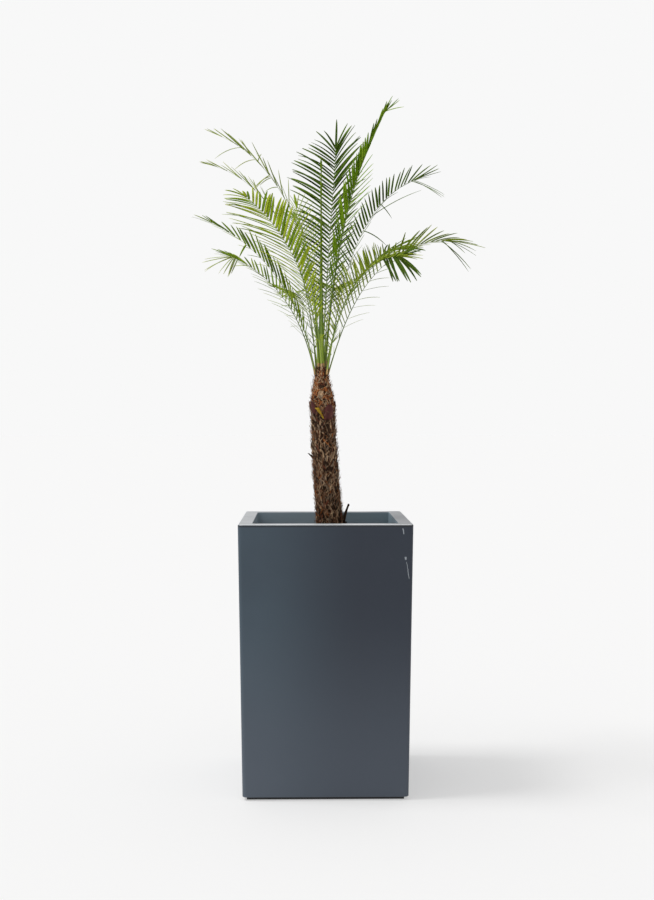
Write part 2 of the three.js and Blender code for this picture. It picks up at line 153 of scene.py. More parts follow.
class Wire:
    """An output of a shader node. Arithmetic on it adds Math nodes, and node() adds any other."""

    def __init__(self, tree, output=None):
        self.tree = tree
        self.output = output

    def node(self, kind, sockets=None, out=0, **settings):
        """Adds a node: its settings first (`stops` fills a colour ramp), then its sockets."""
        made = self.tree.nodes.new("ShaderNode" + kind)
        for key, value in settings.items():
            if key == "stops":
                ramp = made.color_ramp.elements
                for place, colour in value[1:-1]:
                    ramp.new(place)
                for element, (place, colour) in zip(ramp, value):
                    element.position, element.color = place, (*colour, 1)
            else:
                setattr(made, key, value)
        for key, value in (sockets or {}).items():
            if isinstance(value, Wire):
                self.tree.links.new(value.output, made.inputs[key])
            else:
                made.inputs[key].default_value = value
        return Wire(self.tree, made.outputs[out] if made.outputs else None)

    def math(self, operation, first, second=0):
        return self.node("Math", {0: first, 1: second}, operation=operation)

    def __add__(self, other): return self.math("ADD", self, other)
    def __sub__(self, other): return self.math("SUBTRACT", self, other)
    def __rsub__(self, other): return self.math("SUBTRACT", other, self)
    def __mul__(self, other): return self.math("MULTIPLY", self, other)
    def __abs__(self): return self.math("ABSOLUTE", self)
    __radd__, __rmul__ = __add__, __mul__

    def axis(self, name):
        """One of the three numbers of a place."""
        return self.node("SeparateXYZ", {0: self}, out=name)

    def step(self, low, high):
        """0 below low, 1 above high, with a smooth rise between them."""
        ends = {"Value": self, "From Min": low, "From Max": high}
        return self.node("MapRange", ends, interpolation_type="SMOOTHSTEP")

    def blend(self, first, second):
        """The colour `first` where this is 0 and `second` where it is 1."""
        first, second = (end if isinstance(end, Wire) else (*end, 1) for end in (first, second))
        return self.node("Mix", {0: self, 6: first, 7: second}, out=2, data_type="RGBA")

    def speckle(self, scale, detail=2.0, roughness=0.5, stretch=(1, 1, 1)):
        """On a place: a noise of 0 to 1, `scale` grains to the metre, drawn out by 1 / `stretch`."""
        moved = self.node("Mapping", {"Vector": self, "Scale": stretch})
        size = {"Scale": scale, "Detail": detail, "Roughness": roughness}
        return self.node("TexNoise", {"Vector": moved, **size})


def coats(colour, *over):
    """A colour with others laid over it in turn, each given as (share, colour)."""
    for share, tone in over:
        colour = share.blend(colour, tone)
    return colour


def new_finish(name):
    """An empty material, and the place on the object, which starts its node tree."""
    material = bpy.data.materials.new(name)
    material.use_nodes = True
    material.node_tree.nodes.clear()
    return material, Wire(material.node_tree).node("TexCoord", out="Object")


def shade(material, colour, roughness, relief, relief_height, specular=0.5):
    """Finishes a material: its colour and roughness, and a relief of `relief_height` metres."""
    normal = colour.node("Bump", {"Height": relief, "Distance": relief_height})
    skin = colour.node("BsdfPrincipled", {"Base Color": colour, "Roughness": roughness, "Normal": normal,
                                          "Specular IOR Level": specular})
    colour.node("OutputMaterial", {"Surface": skin})
    return material


def slate_finish():
    """Sprayed slate grey with clouds, grain and scuffs, over painted light and shade: lighter on the left and
    darker and bluer on the right, paler towards the foot, a painted reflection on the ledge, a painted-light
    inside of the rim, a painted shadow on the foot, and a painted highlight on the top edge over a dark line."""
    material, place = new_finish("slate_paint")
    x, y, z = (place.axis(name) for name in "XYZ")
    aside = place.math("MAXIMUM", abs(x), abs(y))
    below = POT_HEIGHT - z
    rim_inside = TOP_HALF - RIM_WIDTH
    clouds = place.speckle(3.2, 3).step(0.36, 0.68)
    grain = place.speckle(900, 1)
    streaks = place.speckle(26, 4, stretch=(1, 5, 1)).step(0.35, 0.75)
    wander = (place.speckle(90) - 0.5) * 0.006
    # Painted light: the paint turns paler towards the foot, standing in for light thrown up from the floor,
    # less so on the right.
    painted_floor_light = (1 - z.step(0, 0.55)) * (0.9 - 0.28 * x.step(-0.22, -0.02))
    inside = 1 - aside.step(rim_inside - 0.0003, rim_inside + 0.0009)
    ledge = z.step(POT_HEIGHT - 0.0012, POT_HEIGHT - 0.0002)
    painted_edge_highlight = aside.step(TOP_HALF - 0.003, TOP_HALF - 0.0015) * (1 - below.step(0.0012, 0.002))
    under = below.step(0.0018, 0.0026) * (1 - below.step(0.0062, 0.0076))
    under = under * aside.step(TOP_HALF - 0.0075, TOP_HALF - 0.0045)
    front = 1 - y.step(-0.2215, -0.2165)
    paint = coats(
        # Painted light and shade: the paint is lighter on the left, where the light falls, and darker and
        # bluer on the right.
        x.step(-0.24, 0.1).blend((0.049, 0.08, 0.108), (0.013, 0.0215, 0.038)),
        (clouds * 0.3, (0.033, 0.042, 0.06)),
        (painted_floor_light, (0.082, 0.102, 0.132)),
        # Painted shadow: the set-back foot is near black, the shade under the pot's overhang.
        (1 - z.step(FOOT_HEIGHT - 0.0002, FOOT_HEIGHT + 0.001), (0.006, 0.008, 0.01)),
        # Painted light: the inner face of the rim is far paler than the outside, standing in for the light
        # falling on it, and paler on the left than on the right.
        (inside, x.step(-0.03, 0.07).blend((0.37, 0.47, 0.54), (0.26, 0.35, 0.41))),
        # Painted reflection: the ledge is pale grey, the sheen of the bright surroundings seen at a low
        # angle, and darker towards the right.
        (ledge * (0.78 + 0.22 * streaks), x.step(0.12, 0.2).blend((0.47, 0.485, 0.5), (0.28, 0.29, 0.305))),
        # Painted highlight: a near-white line along the top edge, where it catches the light.
        (painted_edge_highlight * (0.82 + 0.18 * streaks), (0.86, 0.88, 0.9)),
        (under * 0.75, (0.01, 0.012, 0.016)))
    for at_x, slope, low, high, half in SCUFFS:
        off = abs(x + wander + (z - low) * slope - at_x)
        scuff = (1 - off.step(half * 0.5, half)) * z.step(low, low + 0.003) * (1 - z.step(high - 0.003, high))
        paint = (scuff * front * 0.7).blend(paint, (0.46, 0.5, 0.54))
    paint = (grain.step(0.62, 0.8) * 0.25).blend(paint, (0.1, 0.11, 0.12))
    roughness = 0.4 + 0.12 * clouds + 0.08 * grain - ledge * 0.16
    return shade(material, paint, roughness, grain * 0.25 + place.speckle(7, 1) * 3, 0.0008)


rim_foot = POT_HEIGHT - RIM_DEPTH
pot_line = eased_profile([
    (FOOT_HALF - FOOT_INSET, 0, INNER_CORNER, 0),
    (FOOT_HALF - FOOT_INSET, FOOT_HEIGHT, INNER_CORNER, 0),
    (pot_half(FOOT_HEIGHT), FOOT_HEIGHT, OUTER_CORNER, OUTER_EASING),
    (TOP_HALF, POT_HEIGHT, OUTER_CORNER, OUTER_EASING),
    (TOP_HALF - RIM_WIDTH, POT_HEIGHT, INNER_CORNER, INNER_EASING),
    (TOP_HALF - RIM_WIDTH, rim_foot, INNER_CORNER, INNER_EASING),
    (pot_half(rim_foot) - WALL, rim_foot - LEDGE_FALL, INNER_CORNER, INNER_EASING),
    (pot_half(FLOOR) - WALL, FLOOR, INNER_CORNER, 0),
])
points, faces = tubes(square_rings(pot_line)[None])
planter = add_piece("planter_body", points, faces, [slate_finish()], flat_over=FLAT_FACE)
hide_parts("planter")


# ---- Potting mix ----
# Damp peat and composted bark, filled to some 60 mm below the rim and settled unevenly. Crumbs and
# chips of bark lie loose on top.

SOIL_TOP = 0.651
SOIL_HALF = 0.2098
SOIL_RELIEF = 0.004
SOIL_FOOT = FLOOR + 0.001
SOIL_TAPER = 0.957
CRUMBS = 1500


def lattice_noise(a, b, cells, rng, wrap=False):
    """Noise of -1 to 1 over a and b, both 0 to 1: random values at a lattice's corners, blended by
    3t^2 - 2t^3 between them. With `wrap` it closes on itself along a."""
    values = rng.uniform(-1, 1, (cells[0] + 1, cells[1] + 1))
    if wrap:
        values[-1] = values[0]
    u, v = np.clip(a, 0, 1) * cells[0], np.clip(b, 0, 1) * cells[1]
    i, j = np.minimum(u.astype(int), cells[0] - 1), np.minimum(v.astype(int), cells[1] - 1)
    u, v = u - i, v - j
    u, v = u * u * (3 - 2 * u), v * v * (3 - 2 * v)
    low = values[i, j] * (1 - u) + values[i + 1, j] * u
    high = values[i, j + 1] * (1 - u) + values[i + 1, j + 1] * u
    return low * (1 - v) + high * v


def soil_surface(rng, size=150):
    """Heights on a square grid: three sizes of noise, so the mix looks crumbled."""
    a, b = np.meshgrid(np.linspace(0, 1, size), np.linspace(0, 1, size), indexing="ij")
    rise = sum(share * lattice_noise(a, b, (cells, cells), rng)
               for cells, share in ((7, 0.5), (30, 0.3), (74, 0.35)))
    x, y = (2 * a - 1) * SOIL_HALF, (2 * b - 1) * SOIL_HALF
    return np.stack([x, y, SOIL_TOP + SOIL_RELIEF * (rise - 0.4)], -1)


def soil_faces(grid):
    """The grid's points and faces, with walls from its border down to the pot's floor."""
    size = len(grid)
    index = np.arange(size * size).reshape(size, size)
    top = np.stack([index[:-1, :-1], index[1:, :-1], index[1:, 1:], index[:-1, 1:]], -1).reshape(-1, 4)
    border = np.concatenate([index[:, 0], index[-1, 1:], index[-2::-1, -1], index[0, -2:0:-1]])
    foot = size * size + np.arange(len(border))
    walls = np.stack([foot, np.roll(foot, -1), np.roll(border, -1), border], -1)
    under = grid.reshape(-1, 3)[border] * (SOIL_TAPER, SOIL_TAPER, 0) + (0, 0, SOIL_FOOT)
    points = np.vstack([grid.reshape(-1, 3), under, (0, 0, SOIL_FOOT)])
    middle = np.full(len(foot), len(points) - 1)
    return points, [top, walls, np.stack([middle, np.roll(foot, -1), foot], -1)]


def lumps(centres, sizes, rng):
    """Small rough stones: an octahedron's six points and the eight middles of its faces, pushed in or
    out at random, squashed, turned and set down. Returns points, triangles and triangles a stone."""
    signs = np.array([(a, b, c) for a in (-1, 1) for b in (-1, 1) for c in (-1, 1)])
    base = np.vstack([np.eye(3), -np.eye(3), signs * 0.62])
    faces = []
    for k, (a, b, c) in enumerate(signs):
        x, y, z, middle = (0 if a > 0 else 3), (1 if b > 0 else 4), (2 if c > 0 else 5), 6 + k
        ring = (x, y, z) if a * b * c > 0 else (x, z, y)
        faces += [(ring[0], ring[1], middle), (ring[1], ring[2], middle), (ring[2], ring[0], middle)]
    n, m = len(centres), len(base)
    turned = np.linalg.qr(rng.normal(size=(n, 3, 3)))[0]
    turned *= np.linalg.det(turned)[:, None, None]
    shape = base[None] * rng.uniform(0.75, 1.2, (n, m, 1)) * rng.uniform(0.45, 1.0, (n, 1, 3))
    points = np.einsum("nij,nmj->nmi", turned, shape) * (sizes[:, None, None] * (1, 1, 0.7))
    points += centres[:, None]
    index = np.array(faces)[None] + (np.arange(n) * m)[:, None, None]
    return points.reshape(-1, 3), index.reshape(-1, 3), len(faces)


def earthy(name, dark, light, grain):
    """Crumbling matter: dark and light grains over broader damp patches."""
    material, place = new_finish(name)
    fine = place.speckle(grain, 4, 0.65)
    damp = place.speckle(18).step(0.35, 0.65) * 0.45
    colour = damp.blend(fine.step(0.38, 0.7).blend(dark, light), [c * 0.55 for c in dark])
    return shade(material, colour, 0.85 + 0.1 * fine, fine, 0.0012)


rng = np.random.default_rng(4)
grid = soil_surface(rng)
points, faces = soil_faces(grid)
peat = earthy("peat", (0.02, 0.013, 0.009), (0.075, 0.048, 0.03), 420)
soil = add_piece("potting_mix", points, faces, [peat])
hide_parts("soil")

at = rng.integers(2, len(grid) - 2, (CRUMBS, 2))
size = rng.uniform(0.0012, 0.0045, CRUMBS) * np.where(rng.random(CRUMBS) < 0.08, 1.8, 1)
points, triangles, per_lump = lumps(grid[at[:, 0], at[:, 1]], size, rng)
bark_chips = [earthy("chip_" + name, dark, light, 700) for name, dark, light in (
    ("dark", (0.016, 0.01, 0.007), (0.05, 0.03, 0.02)), ("brown", (0.06, 0.033, 0.019), (0.13, 0.075, 0.045)),
    ("grey", (0.07, 0.06, 0.05), (0.17, 0.145, 0.12)))]
tints = np.repeat(rng.integers(0, len(bark_chips), CRUMBS), per_lump)
crumbs = add_piece("soil_crumbs", points, [triangles], bark_chips, tints)
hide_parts("soil")


# ---- Trunk ----
# A single palm stem that leans slightly as it rises. Its wood is hidden under a crust of dead fibre
# and broken leaf bases, thick and grey-brown below, narrowing to a red-brown fibrous neck.

TRUNK_FOOT, TRUNK_TOP = 0.6513, 1.123
TRUNK_LENGTH = TRUNK_TOP - TRUNK_FOOT
TRUNK_BEND = np.array([(0.02, 0, TRUNK_FOOT), (-0.003, 0, 0.8636), (-0.008, 0, TRUNK_TOP)])
TRUNK_HEIGHTS = [0, 0.035, 0.11, 0.18, 0.3, 0.365, 0.395, 0.428, 0.458, 0.472]
TRUNK_RADII = [0.044, 0.038, 0.035, 0.035, 0.0335, 0.033, 0.0305, 0.0225, 0.016, 0.0145]


def trunk_axis(v):
    """The trunk's axis at v, from 0 at the soil to 1 at the top: a quadratic curve."""
    v = np.asarray(v)[..., None]
    foot, bend, top = TRUNK_BEND
    return (1 - v) ** 2 * foot + 2 * v * (1 - v) * bend + v ** 2 * top


def trunk_radius(v):
    """The trunk's bare radius at v: straight lines between the measured heights."""
    return np.interp(trunk_axis(v)[..., 2] - TRUNK_FOOT, TRUNK_HEIGHTS, TRUNK_RADII)


def level(angle):
    """The level direction at an angle."""
    return np.stack([np.cos(angle), np.sin(angle), 0 * angle], -1)


def on_trunk(angle, v, lift):
    """The point `lift` off the trunk's bare surface at an angle round it."""
    return trunk_axis(v) + (trunk_radius(v) + lift)[..., None] * level(angle)


def bark_surface(rng, rows=300, columns=180):
    """Rings up the trunk, whose radius varies with upright fibres, coarse lumps and, near the top,
    folds that run round it."""
    v, turn = np.meshgrid(np.linspace(0, 1, rows), np.arange(columns) / columns, indexing="ij")
    noise = lambda *cells: lattice_noise(turn, v, cells, rng, wrap=True)
    lumpy, fibres, rough = noise(14, 30), noise(90, 40), noise(60, 150)
    folds = noise(8, 90) * np.clip((v - 0.72) / 0.1, 0, 1)
    lift = 0.002 * lumpy + 0.001 * fibres + 0.0008 * rough + 0.0012 * folds - 0.0026
    lift *= np.clip((1 - v) / 0.04, 0.3, 1)
    return on_trunk(turn * 2 * math.pi, v, lift)


def fibrous(name, tones, grain=260, upright=0.3, roughness=0.85):
    """Dead plant fibre: streaks that run upwards, from a dark tone in the furrows to a pale one."""
    material, place = new_finish(name)
    streaks = place.speckle(grain, 5, 0.7, (1, 1, upright))
    patches = place.speckle(55, 3)
    stops = list(zip((0.3, 0.52, 0.74), tones))
    colour = place.node("ValToRGB", {"Fac": streaks * 0.7 + patches * 0.3}, stops=stops)
    return shade(material, colour, roughness + 0.1 * patches, streaks, 0.0012, specular=0.15)


rng = np.random.default_rng(11)
crust = fibrous("bark_crust", [(0.01, 0.005, 0.003), (0.05, 0.025, 0.013), (0.14, 0.08, 0.042)])
points, faces = tubes(bark_surface(rng)[None])
trunk = add_piece("trunk_bark", points, faces, [crust])
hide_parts("trunk")


# ---- Leaf-base stubs ----
# What is left of the fallen fronds: their dead stalk bases have split into stiff chips and splinters,
# tan to rust and grey-brown, that stand close together, mostly upright, with ragged ends.

CHIP_COUNTS = (2150, 190, 900)
NECK_HEIGHT, NECK_TOP = 0.365, 0.462
# A value for each kind: low down, broad, and on the neck. Lengths and widths from least to most.
CHIP_LENGTH = np.array([(0.007, 0.014, 0.005), (0.02, 0.025, 0.013)])
CHIP_WIDTH = np.array([(0.0018, 0.005, 0.002), (0.0048, 0.009, 0.006)])
CHIP_THICKNESS = np.array([1, 1.6, 0.9])
CHIP_RISE = np.array([0.0075, 0.005, 0.005])
CHIP_TILT = np.array([0.55, 0.3, 0.95])
# What share of each kind takes each tone of `weathered`.
CHIP_SHARES = ([0.2, 0.22, 0.27, 0.22, 0.05, 0.04, 0], [0.24, 0.28, 0.28, 0.16, 0.02, 0.02, 0],
               [0.34, 0, 0.08, 0.06, 0.32, 0.2, 0])
# The few that stand out: (turn in degrees, height, length, width, thickness, rise, tilt, taper, tone).
# Two pale knots, a sheath's yellow margin, a tan husk and a dark one by the stalks, a stake and its base
# at the foot on the right, and a short one on the left.
ODD_CHIPS = np.array([
    (259, 0.396, 0.016, 0.019, 0.007, 0.003, 0.2, 0.45, 0),
    (263, 0.392, 0.009, 0.01, 0.008, 0.004, -0.6, 0.3, 1),
    (272, 0.341, 0.028, 0.0042, 0.005, 0.005, -0.55, -1.4, 6),
    (262, 0.452, 0.028, 0.008, 0.003, 0.004, 0.1, 0.6, 0),
    (300, 0.442, 0.022, 0.01, 0.004, 0.006, 0.1, 0.7, 3),
    (350, 0.044, 0.062, 0.0105, 0.0125, 0.023, 0.0, 0.66, 3),
    (356, 0.02, 0.034, 0.013, 0.011, 0.008, 0.05, 0.4, 3),
    (192, 0.234, 0.015, 0.006, 0.008, 0.014, 0.1, 0.5, 3),
])


def for_faces(dealt, faces):
    """The numbers dealt to the shapes, one each, given to all the faces of each shape."""
    return np.concatenate([np.repeat(dealt, len(f) // len(dealt)) for f in faces])


def tube_uv(across, stations, count):
    """Places in the pattern for `count` tubes: across it round each ring, along it by stations."""
    uv = np.stack([np.tile(across, len(stations)), np.repeat(stations, len(across))], -1)
    return np.tile(np.vstack([uv, (0.5, 0), (0.5, 1)]), (count, 1))


def each(values):
    """Numbers, one for each shape, set to multiply arrays of (shapes, rows, columns)."""
    return np.asarray(values)[:, None, None]


def chips(angle, height, length, width, thick, rise, tilt, taper, ragged, rows):
    """Flat pegs up the trunk. Along u, 0 to 1, a peg climbs its length, leans sideways by `tilt` and
    stands off by `rise` times u^1.4. Its section is a squared-off oval that narrows by `taper`, and
    its last ring's points are moved along it by `ragged`."""
    u = np.linspace(0, 1, rows)[None, :, None]
    columns = ragged.shape[1]
    a = (np.arange(columns) / columns * 2 * math.pi)[None, None, :]
    squared = lambda c: np.sign(c) * np.abs(c) ** 0.6
    narrowing = (1 - each(taper) * u) * np.where(u == 0, 0.75, 1)
    sideways = each(width) / 2 * narrowing * squared(np.sin(a)) + each(tilt * length) * u
    lift = each(rise) * u ** 1.4 - 0.0022 + each(thick) / 2 * narrowing * squared(np.cos(a))
    climb = each(height) + each(length) * (u + np.where(u == 1, ragged[:, None], 0))
    v = climb / TRUNK_LENGTH
    return on_trunk(each(angle) + sideways / trunk_radius(v), v, lift)


rng = np.random.default_rng(23)
kind = np.repeat([0, 1, 2], CHIP_COUNTS)
count = len(kind)
angle = rng.uniform(0, 2 * math.pi, count)
low_height = rng.uniform(-0.004, NECK_HEIGHT, count)
neck_height = rng.uniform(NECK_HEIGHT - 0.01, NECK_TOP, count)
height = np.clip(np.where(kind < 2, low_height, neck_height), 0.0005, None)
length = rng.uniform(*CHIP_LENGTH[:, kind])
width = rng.uniform(*CHIP_WIDTH[:, kind])
thick = rng.uniform(0.0008, 0.0022, count) * CHIP_THICKNESS[kind]
rise = rng.uniform(0, 1, count) ** 1.6 * CHIP_RISE[kind]
tilt = rng.normal(0, 1, count) * CHIP_TILT[kind]
ragged = rng.uniform(-0.16, 0.16, (count, 6))
taper = rng.uniform(0.15, 0.85, count)
points, faces = tubes(chips(angle, height, length, width, thick, rise, tilt, taper, ragged, rows=5))
weathered = [fibrous("chip_" + name, tones, 420, 0.2) for name, tones in {
    "tan": [(0.2, 0.12, 0.062), (0.52, 0.345, 0.205), (0.78, 0.58, 0.39)],
    "grey_brown": [(0.09, 0.062, 0.04), (0.26, 0.18, 0.12), (0.46, 0.35, 0.255)],
    "mid_brown": [(0.065, 0.031, 0.015), (0.225, 0.115, 0.06), (0.38, 0.23, 0.135)],
    "dark_brown": [(0.008, 0.004, 0.002), (0.03, 0.015, 0.008), (0.085, 0.045, 0.024)],
    "rust": [(0.12, 0.03, 0.008), (0.44, 0.14, 0.035), (0.7, 0.31, 0.105)],
    "red_brown": [(0.05, 0.014, 0.008), (0.18, 0.055, 0.028), (0.33, 0.13, 0.07)],
}.items()]
weathered.append(fibrous("margin_yellow", [(0.2, 0.1, 0.012), (0.4, 0.25, 0.022), (0.54, 0.4, 0.05)],
                         300, 0.3))
dealt = np.concatenate([rng.choice(len(weathered), number, p=shares)
                        for number, shares in zip(CHIP_COUNTS, CHIP_SHARES)])
stubs = add_piece("leaf_base_stubs", points, faces, weathered, for_faces(dealt, faces))
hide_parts("trunk")

turn, *sizes, tone = ODD_CHIPS.T
ragged = rng.uniform(-0.05, 0.05, (len(ODD_CHIPS), 16))
points, faces = tubes(chips(np.radians(turn), *sizes, ragged, rows=9))
odd_stubs = add_piece("odd_stubs", points, faces, weathered, for_faces(tone.astype(int), faces))
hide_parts("trunk")


# ---- Leaf sheaths ----
# Where the stem narrows to the neck the newest dead leaf bases still wrap it: broad, smooth,
# purple-brown scales that stand out at their tops.

# For each scale: turn in degrees, height, length, half width, how far its top stands off.
SHEATHS = np.array([(222, 0.352, 0.033, 0.01, 0.005), (300, 0.338, 0.04, 0.016, 0.004),
                    (20, 0.35, 0.036, 0.014, 0.003), (95, 0.344, 0.042, 0.016, 0.004),
                    (160, 0.352, 0.034, 0.011, 0.003)])


def sheaths(angle, height, length, spread, stand, rows, columns):
    """Curved scales on the trunk. Along u, 0 to 1, a scale's half width is its spread times
    (1 - u^2)^0.6 + 0.12, and it stands off by `stand` at its top. Each ring runs along the outer
    face and back along the inner one, 1.4 mm below."""
    u = np.linspace(0, 1, rows)[None, :, None]
    out_and_back = [np.linspace(-1, 1, columns // 2), np.linspace(1, -1, columns // 2)]
    side = np.concatenate(out_and_back)[None, None, :]
    outer = np.repeat([1.0, 0.0], columns // 2)[None, None, :]
    half = each(spread) * ((1 - u ** 2) ** 0.6 + 0.12)
    bulge = 0.0022 * (1 - side ** 2)
    lift = each(stand) * u + 0.0014 * outer + bulge - 0.0034 * (1 - u)
    v = np.minimum((each(height) + each(length) * u + 0 * side) / TRUNK_LENGTH, 1)
    return on_trunk(each(angle) + half * side / trunk_radius(v), v, lift)


turn, *sizes = SHEATHS.T
points, faces = tubes(sheaths(np.radians(turn), *sizes, rows=9, columns=16))
husk = fibrous("husk_purple", [(0.022, 0.006, 0.006), (0.088, 0.024, 0.021), (0.19, 0.07, 0.052)],
               160, 0.3, 0.5)
sheath_piece = add_piece("leaf_sheaths", points, faces, [husk])
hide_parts("trunk")


# ---- Trunk fibres ----
# Coarse brown hairs, the torn weave of the leaf sheaths. They mat over the neck, cross each other and
# stick out a few millimetres all down the trunk.

# For each group: number, lower and upper end on the trunk, length, lean, how far they stand off.
HAIR_GROUPS = ((420, (0.74, 0.98), 0.018, 0.9, 0.35), (900, (0.02, 0.8), 0.018, 0.5, 0.4),
               (240, (0.1, 0.97), 0.012, 0.4, 1.1))


def hairs(start, first, second, thick, rows=5):
    """Three-sided threads: start + first * u + second * u^2, thinning to a quarter at the tip."""
    u = np.linspace(0, 1, rows)[None, :, None]
    line = start[:, None] + first[:, None] * u + second[:, None] * u ** 2
    way = unit(first + second)
    across = unit(np.cross(way, (0.31, 0.52, 0.79)))
    other = np.cross(way, across)
    a = (np.arange(3) * 2 * math.pi / 3)[:, None]
    section = across[:, None, None] * np.cos(a) + other[:, None, None] * np.sin(a)
    radius = (thick[:, None, None] * (1 - 0.75 * u))[..., None] / 2
    return line[:, :, None] + section * radius


def trunk_hairs(count, v_range, length, lean, out, rng):
    """Hairs rooted at random on the trunk between two heights. They climb, go round by `lean` and
    stand off by `out`, each a random share of it."""
    share = lambda low: rng.uniform(low, 1, count)[:, None]
    angle, v = rng.uniform(0, 2 * math.pi, count), rng.uniform(*v_range, count)
    start = on_trunk(angle, v, rng.uniform(0, 0.003, count))
    size = share(0.4) * length
    radial = level(angle)
    round_it = np.cross((0, 0, 1), radial)
    sign = rng.choice([-1, 1], count)[:, None]
    first = size * ((0, 0, 1) * share(0.1) + sign * lean * round_it * share(0.3) + out * radial * share(0.2))
    second = size * (-0.35 * lean * radial + rng.normal(0, 0.12, (count, 3)))
    return start, first, second


rng = np.random.default_rng(47)
groups = [trunk_hairs(*group, rng) for group in HAIR_GROUPS]
start, first, second = [np.vstack(part) for part in zip(*groups)]
thick = rng.uniform(0.0005, 0.0011, len(start))
points, faces = tubes(hairs(start, first, second, thick))
dealt = rng.choice(3, len(start), p=[0.5, 0.3, 0.2])
threads = [fibrous("fibre_" + name, tones, 200) for name, tones in {
    "rust": [(0.08, 0.024, 0.01), (0.26, 0.095, 0.038), (0.42, 0.19, 0.085)],
    "dark": [(0.02, 0.009, 0.005), (0.07, 0.032, 0.018), (0.14, 0.075, 0.042)],
    "straw": [(0.22, 0.14, 0.07), (0.46, 0.33, 0.19), (0.62, 0.5, 0.34)],
}.items()]
fibres = add_piece("trunk_fibres", points, faces, threads, for_faces(dealt, faces))
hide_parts("trunk")


# ---- Frond ribs ----
# Each frond hangs on one tapering stalk that starts tan in the neck, is bare for its first quarter or
# so, and arches outwards as it thins. It is flat above and rounded below.

